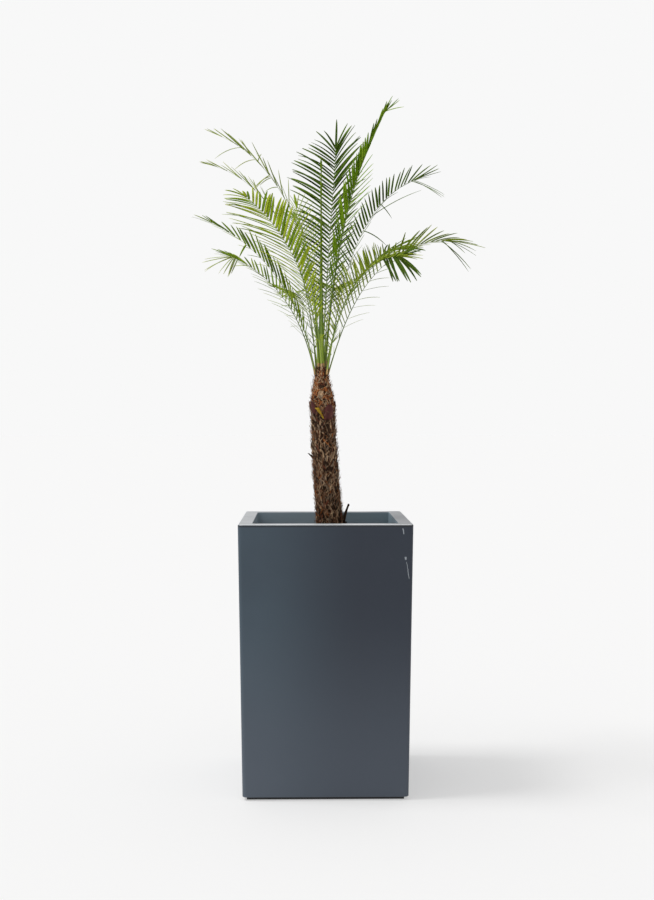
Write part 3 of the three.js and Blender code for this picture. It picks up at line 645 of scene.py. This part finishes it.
# Angles are in degrees, lengths in mm. A frond's rib stands at `foot` round the neck, `radius` out and
# `depth` down. Its rows, left and right, are (fold, tilt, spacing, breadth, stations), and a station is
# (per cent of the leafy stretch, opening, length). A row's leaflets have half their breadth at its foot,
# all of it at two thirds and `fine` of it at its end. The loose ones, which hang out of line and are
# `slim`, are (per cent, row, opening, fold, droop in per cent, length).
FRONDS = dict(
    back_tall=dict(
        heading=71, foot=80, radius=8, depth=6, lean=(9, 30), bend=1.6, length=672, sweep=13,
        droop=(0.2, 0.24), end=136, fine=1, tint="dark",
        left=(15, 20, 1, 1.05, (0, 50, 80), (37, 50, 118), (60, 53, 165), (75, 52, 155), (84, 50, 135),
            (88, 54, 108), (95, 46, 98), (98, 32, 92), (100, 26, 90)),
        right=(15, 20, 1, 1.0, (0, 46, 80), (37, 43, 112), (66, 38, 140), (85, 34, 140), (92, 28, 142),
            (98, 19, 122), (100, 14, 110))),
    right_tall=dict(
        heading=11, foot=8, radius=8, depth=6, lean=(5, 30), bend=1.7, length=747, sweep=18, petiole=0.3,
        droop=(0.08, 0), end=50, fine=0.7, stout=1.3, slim=0.34, tint="grass",
        left=(60, 30, 1.2, 0.82, (0, 20, 60), (30, 21, 92), (50, 20, 80), (74, 16, 62), (78, 3, 80),
            (94, 2, 60), (100, 2, 22)),
        right=(-30, 30, 1.4, 0.7, (0, 34, 60), (40, 42, 95), (56, 36, 70), (62, 4, 80), (94, 2, 60),
            (100, 2, 22)),
        loose=[(97, 1, 6, -60, 0, 52), (98, 1, 16, -60, 0, 62), (99, 1, 24, -60, 5, 58),
            (99, 1, 44, -50, 10, 58)]),
    right_upper=dict(
        heading=25, foot=30, lean=(10, 69), bend=2.5, length=646, petiole=0.3, droop=(0.03, 0.05), end=92,
        fine=0.55, slim=0.36, tint="dark",
        left=(45, 20, 1.1, 0.76, (0, 50, 50), (49, 44, 62), (62, 42, 78), (80, 36, 76), (86, 36, 84),
            (91, 32, 94), (96, 22, 96), (100, 8, 98)),
        right=(-40, 60, 2.6, 0.45, (0, 24, 50), (50, 10, 60), (100, 5, 50)),
        loose=[(60, 1, 24, -40, 15, 167), (49, 1, 88, -40, 30, 75), (98, 1, 66, -40, 15, 97),
            (99, 1, 58, -45, 15, 92), (97, 1, 60, -40, 20, 100), (70, 1, 100, -60, 30, 45),
            (99, 0, 9, 60, 0, 100)]),
    right_arch=dict(
        heading=354, foot=0, lean=(17, 96), bend=2, length=536, sweep=8, droop=(0.1, 0.15), end=96,
        fine=0.5, slim=0.42, tint="olive", loose_tint="dark",
        left=(60, 30, 1.2, 0.6, (0, 46, 80), (22, 48, 108), (35, 54, 116), (47, 58, 90), (54, 60, 62),
            (60, 46, 60), (66, 28, 96), (74, 30, 98), (82, 17, 80), (100, 14, 76)),
        right=(-50, 50, 2.4, 0.45, (0, 50, 75), (15, 58, 72), (27, 50, 88), (35, 40, 66), (50, 20, 50),
            (60, 6, 60), (100, 5, 50)),
        loose=[(93, 1, 56, -40, 20, 125), (94, 1, 60, -45, 20, 120), (99, 1, 43, -40, 15, 56),
            (98, 1, 28, -40, 15, 85), (99, 1, 20, -30, 15, 75), (97, 0, 10, 20, 10, 90)]),
    right_front=dict(
        heading=308, foot=318, lean=(14, 98), bend=1.6, length=458, petiole=0.2, droop=(0.1, 0.12), end=62,
        slim=0.75, tint="olive", loose_tint="dark",
        left=(40, 20, 1.2, 0.6, (0, 40, 40), (30, 36, 56), (50, 24, 66), (62, 10, 86), (75, 5, 92),
            (90, 8, 85), (100, 12, 78)),
        right=(40, 20, 1.15, 0.72, (0, 42, 60), (30, 42, 78), (43, 42, 95), (54, 50, 70), (62, 47, 78),
            (70, 48, 62), (78, 40, 58), (86, 30, 60), (100, 10, 60)),
        loose=[(83, 1, 46, -60, 15, 110), (88, 1, 46, -60, 15, 104), (93, 1, 38, -60, 15, 110),
            (95, 1, 34, -56, 15, 122), (97, 1, 25, -58, 15, 122), (98, 1, 22, -64, 15, 114),
            (99, 1, 17, -62, 15, 106), (90, 1, 50, -64, 15, 90), (86, 1, 54, -60, 15, 94),
            (99, 0, 30, 40, 0, 61), (97, 0, 22, 60, 0, 69), (95, 0, 30, 50, 0, 66)]),
    left_top=dict(
        heading=157, foot=155, radius=10, depth=6, lean=(2, 64), bend=1.8, length=755, petiole=0.36,
        droop=(0.1, 0.02), end=56, fine=0.8, stout=0.6, slim=0.36, tint="pale",
        left=(40, 20, 4.0, 0.34, (0, 30, 50), (40, 12, 90), (60, 5, 120), (85, 4, 100), (100, 3, 60)),
        right=(60, 20, 3.0, 0.38, (0, 30, 60), (40, 22, 84), (50, 14, 90), (58, 6, 110), (85, 5, 96),
            (100, 4, 60)),
        loose=[(74, 0, 62, -40, 40, 62), (86, 0, 54, -40, 40, 74), (61, 0, 96, -40, 40, 60),
            (60, 0, 80, -40, 50, 56), (59, 0, 83, -40, 40, 38), (61, 1, 16, 60, 0, 60),
            (78, 1, 17, 60, 0, 60), (72, 1, 56, 70, 90, 36), (52, 0, 70, -30, 40, 40)]),
    left_thin=dict(
        heading=149, foot=137, radius=18, lean=(5, 72), bend=1.7, length=736, petiole=0.36,
        droop=(0.05, 0.05), end=48, fine=0.8, stout=0.6, slim=0.36, tint="pale",
        left=(55, 20, 4.2, 0.3, (0, 24, 50), (40, 8, 90), (85, 5, 90), (100, 5, 50)),
        right=(55, 20, 4.0, 0.3, (0, 24, 50), (40, 8, 90), (85, 6, 90), (100, 6, 56)),
        loose=[(70, 0, 40, 50, 20, 36), (62, 1, 20, 70, 10, 50), (97, 1, 12, 20, 0, 56)]),
    left_broad=dict(
        heading=226, foot=215, radius=9, depth=6, lean=(3, 67), bend=1.2, length=537, droop=(0.1, 0.15),
        end=52, tint="bright",
        left=(20, 0, 1.1, 1.0, (0, 40, 50), (32, 42, 79), (48, 45, 101), (60, 42, 118), (72, 43, 112),
            (84, 44, 86), (93, 40, 66), (97, 35, 45), (100, 26, 34)),
        right=(-10, 55, 0.92, 0.92, (0, 38, 104), (20, 38, 112), (32, 43, 120), (55, 42, 150),
            (70, 40, 140), (80, 36, 114), (95, 33, 74), (100, 14, 64))),
    left_middle=dict(
        heading=189, foot=202, lean=(11, 66), bend=1.3, length=511, droop=(0.2, 0.05), end=46, fine=0.4,
        tint="fresh",
        left=(-50, 40, 2.6, 0.5, (0, 60, 46), (40, 50, 48), (66, 36, 40), (74, 9, 64), (100, 5, 60)),
        right=(60, 25, 1.5, 0.72, (0, 16, 60), (20, 20, 84), (45, 24, 88), (56, 27, 88), (72, 28, 64),
            (80, 24, 50), (86, 8, 62), (100, 5, 50)),
        loose=[(72, 0, 90, -50, 30, 44)]),
    left_low=dict(
        heading=161, foot=171, lean=(13, 68), bend=1.3, length=430, droop=(0.1, 0.12), end=50, fine=0.6,
        slim=0.42, tint="fresh", loose_tint="pale",
        left=(-40, 50, 1.5, 0.42, (0, 26, 50), (23, 40, 68), (37, 34, 78), (48, 22, 80), (60, 10, 60),
            (100, 7, 50)),
        right=(62, 30, 1.2, 0.6, (0, 30, 50), (26, 34, 54), (50, 34, 56), (66, 34, 46), (76, 30, 44),
            (82, 10, 56), (100, 6, 66)),
        loose=[(99, 0, 62, -40, 15, 90), (98, 0, 58, -42, 15, 88), (99, 0, 45, -40, 10, 84),
            (99, 0, 36, -36, 10, 76), (98, 0, 88, -40, 15, 72), (97, 0, 96, -42, 15, 66),
            (96, 0, 104, -44, 15, 70), (95, 0, 106, -46, 15, 62), (93, 0, 104, -48, 15, 50),
            (81, 0, 41, -40, 10, 52)]),
    front_young=dict(
        heading=255, foot=275, radius=9, depth=6, lean=(7, 43), bend=0.4, length=474, petiole=0.4,
        droop=(0.1, 0.1), end=44, tint="bright",
        left=(40, 30, 1.15, 0.6, (0, 52, 40), (30, 53, 58), (66, 55, 64), (82, 54, 64), (95, 37, 50),
            (100, 20, 48)),
        right=(30, 30, 1.15, 0.6, (0, 54, 36), (30, 58, 47), (47, 44, 48), (82, 36, 48), (100, 14, 44))),
    spear=dict(
        heading=90, foot=240, radius=1.5, depth=6, lean=(0, 3), bend=1.5, length=545, petiole=0.4,
        stout=2.2, droop=(0, 0), end=26, tint="mid",
        left=(60, 60, 1.8, 0.5, (0, 4, 70), (80, 3, 66), (100, 2, 34)),
        right=(60, 60, 1.8, 0.5, (0, 4, 70), (80, 3, 66), (100, 2, 34))),
    back_right=dict(heading=48, foot=61, radius=18, lean=(16, 86), bend=1.5, length=560, petiole=0.36),
    back_middle=dict(heading=102, foot=106, lean=(10, 66), bend=1.4, length=600, petiole=0.36),
    back_left=dict(
        heading=104, foot=112, radius=20, depth=45, lean=(20, 90), bend=1.4, length=450, petiole=0.42,
        tint="olive"),
    back_low=dict(
        heading=82, foot=80, radius=20, depth=45, lean=(20, 92), bend=1.4, length=490, petiole=0.42,
        tint="olive"),
)
USUAL_ROW = (20, 50, 1.5, 0.56, (0, 54, 68), (30, 49, 130), (50, 42, 136), (70, 33, 120), (100, 18, 75))
USUAL = dict(sweep=0, radius=17, depth=20, petiole=0.25, left=USUAL_ROW, right=USUAL_ROW,
             droop=(0.12, 0.15), loose=[], slim=0.6, end=80, fine=0.75, stout=0.66, tint="mid")
RIB_FOOT_WIDTH, RIB_TIP_WIDTH, RIB_TAPER = 0.0085, 0.0012, 1.8
RIB_FLARE, RIB_FLARE_LENGTH = 0.005, 0.03
RIB_ROWS, RIB_COLUMNS = 64, 10
RIB_STEPS = 240


def rib_frames(frond, s):
    """A rib's points at the shares s of its length, and the ways along it, to its left and up. Its lean
    off the vertical goes from lean[0] to lean[1] by s^bend, its heading turns by sweep * s^1.5, and
    the points are the sum of the steps along it."""
    fine = np.linspace(0, 1, RIB_STEPS + 1)
    lean = np.radians(frond["lean"][0] + (frond["lean"][1] - frond["lean"][0]) * fine ** frond["bend"])
    heading = np.radians(frond["heading"] + frond["sweep"] * fine ** 1.5)
    along = np.sin(lean)[:, None] * level(heading) + np.cos(lean)[:, None] * (0, 0, 1)
    side = np.cross((0, 0, 1), level(heading))
    steps = (along[1:] + along[:-1]) / 2 * frond["length"] / 1000 / RIB_STEPS
    start = TRUNK_BEND[2] + level(math.radians(frond["foot"])) * frond["radius"] / 1000
    start = start - (0, 0, frond["depth"] / 1000)
    line = start + np.vstack([np.zeros(3), np.cumsum(steps, 0)])
    read = lambda values: np.stack([np.interp(s, fine, values[:, k]) for k in range(3)], -1)
    along, side = read(along), read(side)
    return read(line), along, side, np.cross(along, side)


def rib_width(s):
    """The rib's width: a power curve from its foot to its tip, flared where it leaves the neck."""
    narrowing = RIB_TIP_WIDTH + (RIB_FOOT_WIDTH - RIB_TIP_WIDTH) * (1 - s) ** RIB_TAPER
    return narrowing + RIB_FLARE * np.exp(-s / RIB_FLARE_LENGTH)


def rib_rings(frond):
    """Rings along a rib. At the angle a the point lies 0.5 cos a of the width to the left, and 0.26
    sin a of it above the middle or 0.42 sin a of it below."""
    s = np.linspace(0, 1, RIB_ROWS)
    points, _, side, up = rib_frames(frond, s)
    a = np.arange(RIB_COLUMNS) / RIB_COLUMNS * 2 * math.pi
    width = frond["stout"] * rib_width(s)[:, None, None]
    high = np.where(np.sin(a) > 0, 0.26, 0.42) * np.sin(a)
    return points[:, None] + width * (side[:, None] * (np.cos(a) / 2)[:, None] + up[:, None] * high[:, None])


def stalk_finish(name, base, streak):
    """Living stalk: satin skin with faint streaks, a painted highlight down its middle and painted shade
    along its sides.
    """
    material, place = new_finish(name)
    aside = abs(place.node("TexCoord", out="UV").axis("X") * 2 - 1)
    streaks = place.speckle(220, 3, stretch=(1, 1, 0.12))
    colour = coats((streaks.step(0.35, 0.7) * 0.7).blend(base, streak),
                   # Painted highlight: a paler band down the middle of the stalk.
                   ((1 - aside.step(0.05, 0.45)) * 0.55, [min(1, c * 1.3 + 0.03) for c in streak]),
                   # Painted shade: darker along the stalk's sides, where it turns from the light.
                   (aside.step(0.62, 0.92) * 0.85, (0.045, 0.075, 0.008)))
    return shade(material, colour, 0.38 + 0.15 * streaks, streaks, 0.0004)


rib_finishes = [stalk_finish(*colours) for colours in (
    ("stalk_tan", (0.48, 0.25, 0.075), (0.6, 0.38, 0.15)),
    ("stalk_yellow", (0.22, 0.33, 0.018), (0.36, 0.46, 0.05)),
    ("stalk_green", (0.12, 0.21, 0.016), (0.21, 0.31, 0.04)),
    ("rib_pale", (0.3, 0.36, 0.17), (0.45, 0.5, 0.3)),
    ("spear_green", (0.055, 0.11, 0.008), (0.085, 0.155, 0.012)))]
TAN, GREEN, SPEAR_GREEN = 0, 2, 4
fronds = {name: {**USUAL, **own} for name, own in FRONDS.items()}
points, faces = tubes(np.stack([rib_rings(frond) for frond in fronds.values()]))
# A stalk is tan, then yellow, then green. The dark and middling fronds' ribs turn pale further up.
up_rib = np.repeat(np.arange(RIB_ROWS - 1), RIB_COLUMNS) / (RIB_ROWS - 1)
plain = np.digitize(up_rib, [0.03, 0.16])
bands = {"dark": np.digitize(up_rib, [0.03, 0.16, 0.4]), "mid": plain}
bands["spear"] = np.where(up_rib > 0.5, SPEAR_GREEN, plain)
tints = [bands.get(name, bands.get(frond["tint"], plain)) for name, frond in fronds.items()]
tints.append(np.tile(np.repeat([TAN, GREEN], RIB_COLUMNS), len(fronds)))
across = (1 + np.cos(np.arange(RIB_COLUMNS) * 2 * math.pi / RIB_COLUMNS)) / 2
rib_uv = tube_uv(across, np.linspace(0, 1, RIB_ROWS), len(fronds))
ribs = add_piece("frond_ribs", points, faces, rib_finishes, np.concatenate(tints), uv=rib_uv)
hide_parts(*["frond_" + name for name in fronds])


# ---- Leaflets ----
# Narrow, pointed blades, creased along the middle, that leave the rib in two rows, 10 mm apart or
# more. They are shorter towards both ends of the frond and turn to stiff spines on the stalk.

LEAFLET_SPACING = 0.011
LEAFLET_WIDTH = 0.0088
END_LEAFLET_WIDTH = 0.0065
SPINE_WIDTH = 0.0022
HALF_THICKNESS = 0.00025
BLADE_STATIONS = np.linspace(0.0, 0.97, 9)
TIP_REACH = 0.25
# Four greens for each tint, dealt out to its leaflets in these shares.
GREEN_SHARES = [0.35, 0.3, 0.2, 0.15]
GREENS = {
    # Painted shade: the dark greens darken the fronds that hang in shade in the crown, back_tall most of all.
    "dark": [(0.042, 0.095, 0.006), (0.062, 0.13, 0.008), (0.095, 0.18, 0.012), (0.03, 0.068, 0.005)],
    "grass": [(0.15, 0.3, 0.01), (0.21, 0.38, 0.014), (0.095, 0.21, 0.008), (0.28, 0.45, 0.03)],
    "mid": [(0.105, 0.195, 0.012), (0.15, 0.26, 0.018), (0.07, 0.14, 0.01), (0.22, 0.33, 0.045)],
    "fresh": [(0.18, 0.3, 0.014), (0.25, 0.38, 0.022), (0.11, 0.2, 0.01), (0.34, 0.45, 0.06)],
    "pale": [(0.27, 0.35, 0.08), (0.35, 0.43, 0.12), (0.2, 0.275, 0.055), (0.42, 0.49, 0.17)],
    "bright": [(0.27, 0.4, 0.012), (0.35, 0.47, 0.018), (0.42, 0.52, 0.04), (0.155, 0.27, 0.01)],
    "olive": [(0.17, 0.245, 0.018), (0.23, 0.31, 0.028), (0.105, 0.168, 0.014), (0.32, 0.39, 0.07)],
}


def blades(root, way, across, upper, length, width, fall, bend, tilt, twist):
    """Leaflets as closed creased blades. At u, 0 to 1, the middle is root + way * length * u, less
    fall * u^2 in height and plus bend * u^2 sideways. The width goes with 1.6 (u + 0.12)^0.35 times
    (1 - u)^0.5, the section is turned by tilt + twist * u, and its edges stand above the crease."""
    u = BLADE_STATIONS[:, None]
    root, way, across, upper = (part[:, None] for part in (root, way, across, upper))
    length, width, fall, bend, tilt, twist = map(each, (length, width, fall, bend, tilt, twist))
    middle = root + way * (length * u) - fall * u ** 2 * (0, 0, 1) + bend * u ** 2 * across
    half = (width * 1.6 * (u + 0.12) ** 0.35 * (1 - u) ** 0.5 / 2)[..., 0]
    turn = tilt + twist * u
    flat = across * np.cos(turn) + upper * np.sin(turn)
    rise = upper * np.cos(turn) - across * np.sin(turn)
    reach = np.stack([half, 0 * half, -half, 0 * half], -1)
    crease = HALF_THICKNESS + 0 * half
    high = np.stack([0.45 * half, crease, 0.45 * half, -crease], -1)
    return middle[:, :, None] + flat[:, :, None] * reach[..., None] + rise[:, :, None] * high[..., None]


def set_blades(frond, rng, t, hand, opening, fold, droop, tilt, breadth, length):
    """Blades on a frond's rib, each at its share t of the leafy stretch, to its hand, open by its
    angle, raised by its fold and drooping by a share of its length."""
    length = length / 1000
    opening, fold, tilt = np.radians(opening), np.radians(fold), np.radians(tilt) * hand
    s = frond["petiole"] + t * (1 - frond["petiole"])
    root, along, side, up = rib_frames(frond, s)
    out = side * (hand * np.cos(fold))[:, None] + up * np.sin(fold)[:, None]
    way = along * np.cos(opening)[:, None] + out * np.sin(opening)[:, None]
    across = unit(along - (along * way).sum(1)[:, None] * way)
    upper = np.cross(across, way) * hand[:, None]
    fall = droop * length * np.hypot(way[:, 0], way[:, 1])
    bend = rng.normal(0, 0.03, len(t)) * length
    twist = rng.normal(0, 0.2, len(t))
    root = root + out * (rib_width(s) * 0.3)[:, None]
    return blades(root, way, -across * hand[:, None], upper, length, LEAFLET_WIDTH * breadth, fall, bend,
                  tilt, twist)


def leaflets(frond, rng):
    """A frond's two rows by the rule of its CAD node, closer and narrower. A leaflet's opening and its
    length run straight from station to station of its row. Each varies a little."""
    leafy = frond["length"] / 1000 * (1 - frond["petiole"])
    parts = []
    for hand, (fold, tilt, spacing, breadth, *stations) in ((1.0, frond["left"]), (-1.0, frond["right"])):
        share, opening, length = np.array(stations, float).T
        count = int(leafy / (LEAFLET_SPACING * spacing))
        t = np.clip((np.arange(count) + rng.uniform(-0.15, 0.15, count)) / (count - 1), 0, 1)
        droop = np.interp(t, (0, 1), frond["droop"]) * rng.uniform(0.7, 1.4, count)
        fine = np.interp(t, (0, 0.35, 0.66, 1), (0.5, 0.8, 1, frond["fine"])) * rng.uniform(0.85, 1.1, count)
        opening = np.interp(t, share / 100, opening) + rng.normal(0, 1.3, count)
        fold = fold + rng.normal(0, 3.5, count)
        tilt = tilt + rng.normal(0, 8, count)
        length = np.interp(t, share / 100, length) * rng.normal(1, 0.05, count).clip(0.85, 1.1)
        parts.append((t, hand + 0 * t, opening, fold, droop, tilt, breadth * fine, length))
    return set_blades(frond, rng, *np.hstack(parts))


def loose_leaflets(frond, rng):
    """The leaflets that hang out of line, one by one."""
    share, row, opening, fold, droop, length = np.array(frond["loose"]).T
    even = np.ones(len(share))
    return set_blades(frond, rng, share / 100, 1 - 2 * row, opening, fold, droop / 100, 10 * even,
                      frond["slim"] * even, length)


def end_leaflet(frond, rng):
    """The single leaflet that carries on from the rib's tip. It doesn't vary."""
    root, along, side, up = rib_frames(frond, np.array([1.0]))
    length, width, still = np.array([[frond["end"] / 1000], [END_LEAFLET_WIDTH], [0]])
    fall = length * frond["droop"][1] * 0.5
    return blades(root, along, side, up, length, width, fall, length * 0.02, still, still)


def spines(frond, rng, count=8):
    """The lowest leaflets, hardened to spines on the bare stalk: narrow, straight and slanting up."""
    s = frond["petiole"] * rng.uniform(0.42, 1.0, count)
    hand = np.where(np.arange(count) % 2, 1.0, -1.0)
    root, along, side, up = rib_frames(frond, s)
    slant = np.radians(rng.uniform(30, 50, count))[:, None]
    out = side * hand[:, None] + up * 0.35
    way = unit(along * np.cos(slant) + out * np.sin(slant))
    across = unit(np.cross(up, way))
    length = rng.uniform(0.018, 0.045, count) * (0.5 + 0.5 * s / frond["petiole"])
    still = np.zeros(count)
    return blades(root, way, across, np.cross(way, across), length, SPINE_WIDTH + still, 0.05 * length,
                  still, still, still)


def leaf_finish(name, colour):
    """Leaf skin: a clouded green, a paler crease, yellow-green tips and margins, where the light comes
    through, and fine lines along the blade."""
    material, place = new_finish(name)
    pattern = place.node("TexCoord", out="UV")
    aside = abs(pattern.axis("X") - 0.5)
    clouds = place.speckle(30)
    red, green, blue = colour
    tone = coats(clouds.step(0.3, 0.7).blend([c * 0.78 for c in colour], [c * 1.2 for c in colour]),
                 (pattern.axis("Y").step(0.72, 1) * 0.6, (red * 1.5, green * 1.15, blue)),
                 ((1 - aside.step(0.02, 0.1)) * 0.25, [min(1, c * 1.9 + 0.02) for c in colour]),
                 (aside.step(0.24, 0.46) * 0.8, (red * 1.5 + 0.3, green * 1.2 + 0.42, blue + 0.04)))
    lines = place.node("TexWave", {"Vector": pattern, "Scale": 6.0}, bands_direction="X")
    return shade(material, tone, 0.55 + 0.16 * clouds, lines, 0.0002, specular=0.06)


rng = np.random.default_rng(59)
for tint, greens in GREENS.items():
    whole = [name for name, frond in fronds.items() if frond["tint"] == tint]
    loose = [name for name, frond in fronds.items()
             if frond["loose"] and frond.get("loose_tint", frond["tint"]) == tint]
    rows = [make(fronds[name], rng) for name in whole for make in (leaflets, end_leaflet, spines)]
    rows = np.concatenate(rows + [loose_leaflets(fronds[name], rng) for name in loose])
    points, faces = tubes(rows, TIP_REACH)
    finishes = [leaf_finish(f"leaf_{tint}_{k}", green) for k, green in enumerate(greens)]
    tints = for_faces(rng.choice(len(greens), len(rows), p=GREEN_SHARES), faces)
    blade_uv = tube_uv((0, 0.5, 1, 0.5), BLADE_STATIONS, len(rows))
    piece = add_piece("leaflets_" + tint, points, faces, finishes, tints, blade_uv)
    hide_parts(*["frond_" + name for name in dict.fromkeys(whole + loose)])


# ---- Studio ----
# A pale floor that meets a background of the same tone, a soft light from the upper left, and a
# camera level with the upper half of the trunk.

BACKDROP = (0.939, 0.939, 0.939)
CAMERA_DOWN, CAMERA_RIGHT = math.radians(1.56), math.radians(0.96)

camera = in_scene("camera", bpy.data.cameras.new("camera"))
camera.data.sensor_width = 36
camera.data.lens = 49.92
camera.data.clip_end = 100
camera.location = (-0.05, -3.4035, 0.99)
camera.rotation_euler = (math.pi / 2 - CAMERA_DOWN, 0, -CAMERA_RIGHT)
bpy.context.scene.camera = camera

floor_finish, place = new_finish("studio_floor")
matt = place.node("BsdfDiffuse", {"Color": (0.5, 0.498, 0.494, 1)})
glow = place.node("Emission", {"Color": (1, 1, 1, 1), "Strength": 0.418})
place.node("OutputMaterial", {"Surface": place.node("AddShader", {0: matt, 1: glow})})
floor_mesh = bpy.data.meshes.new("studio_floor")
floor_mesh.from_pydata([(-40, -40, 0), (40, -40, 0), (40, 60, 0), (-40, 60, 0)], [], [(0, 1, 2, 3)])
floor_mesh.materials.append(floor_finish)
floor = in_scene("studio_floor", floor_mesh)
floor.location.z = -0.0004

sun = in_scene("soft_light", bpy.data.lights.new("soft_light", "SUN"))
sun.data.energy = 1.4
sun.data.angle = math.radians(18)
sun.rotation_euler = (math.radians(30), 0, math.radians(-86))

world = bpy.data.worlds.new("studio")
bpy.context.scene.world = world
world.use_nodes = True
world.node_tree.nodes.clear()
way = Wire(world.node_tree).node("TexCoord", out="Generated")
seen = way.node("LightPath", out="Is Camera Ray")
brightness = 0.66 - 0.22 * way.axis("X") + 0.1 * way.axis("Y")
light = seen.blend(brightness.blend((0, 0, 0), (1, 1, 1.01)), BACKDROP)
way.node("OutputWorld", {"Surface": way.node("Background", {"Color": light})})
bpy.context.scene.view_settings.view_transform = "Standard"
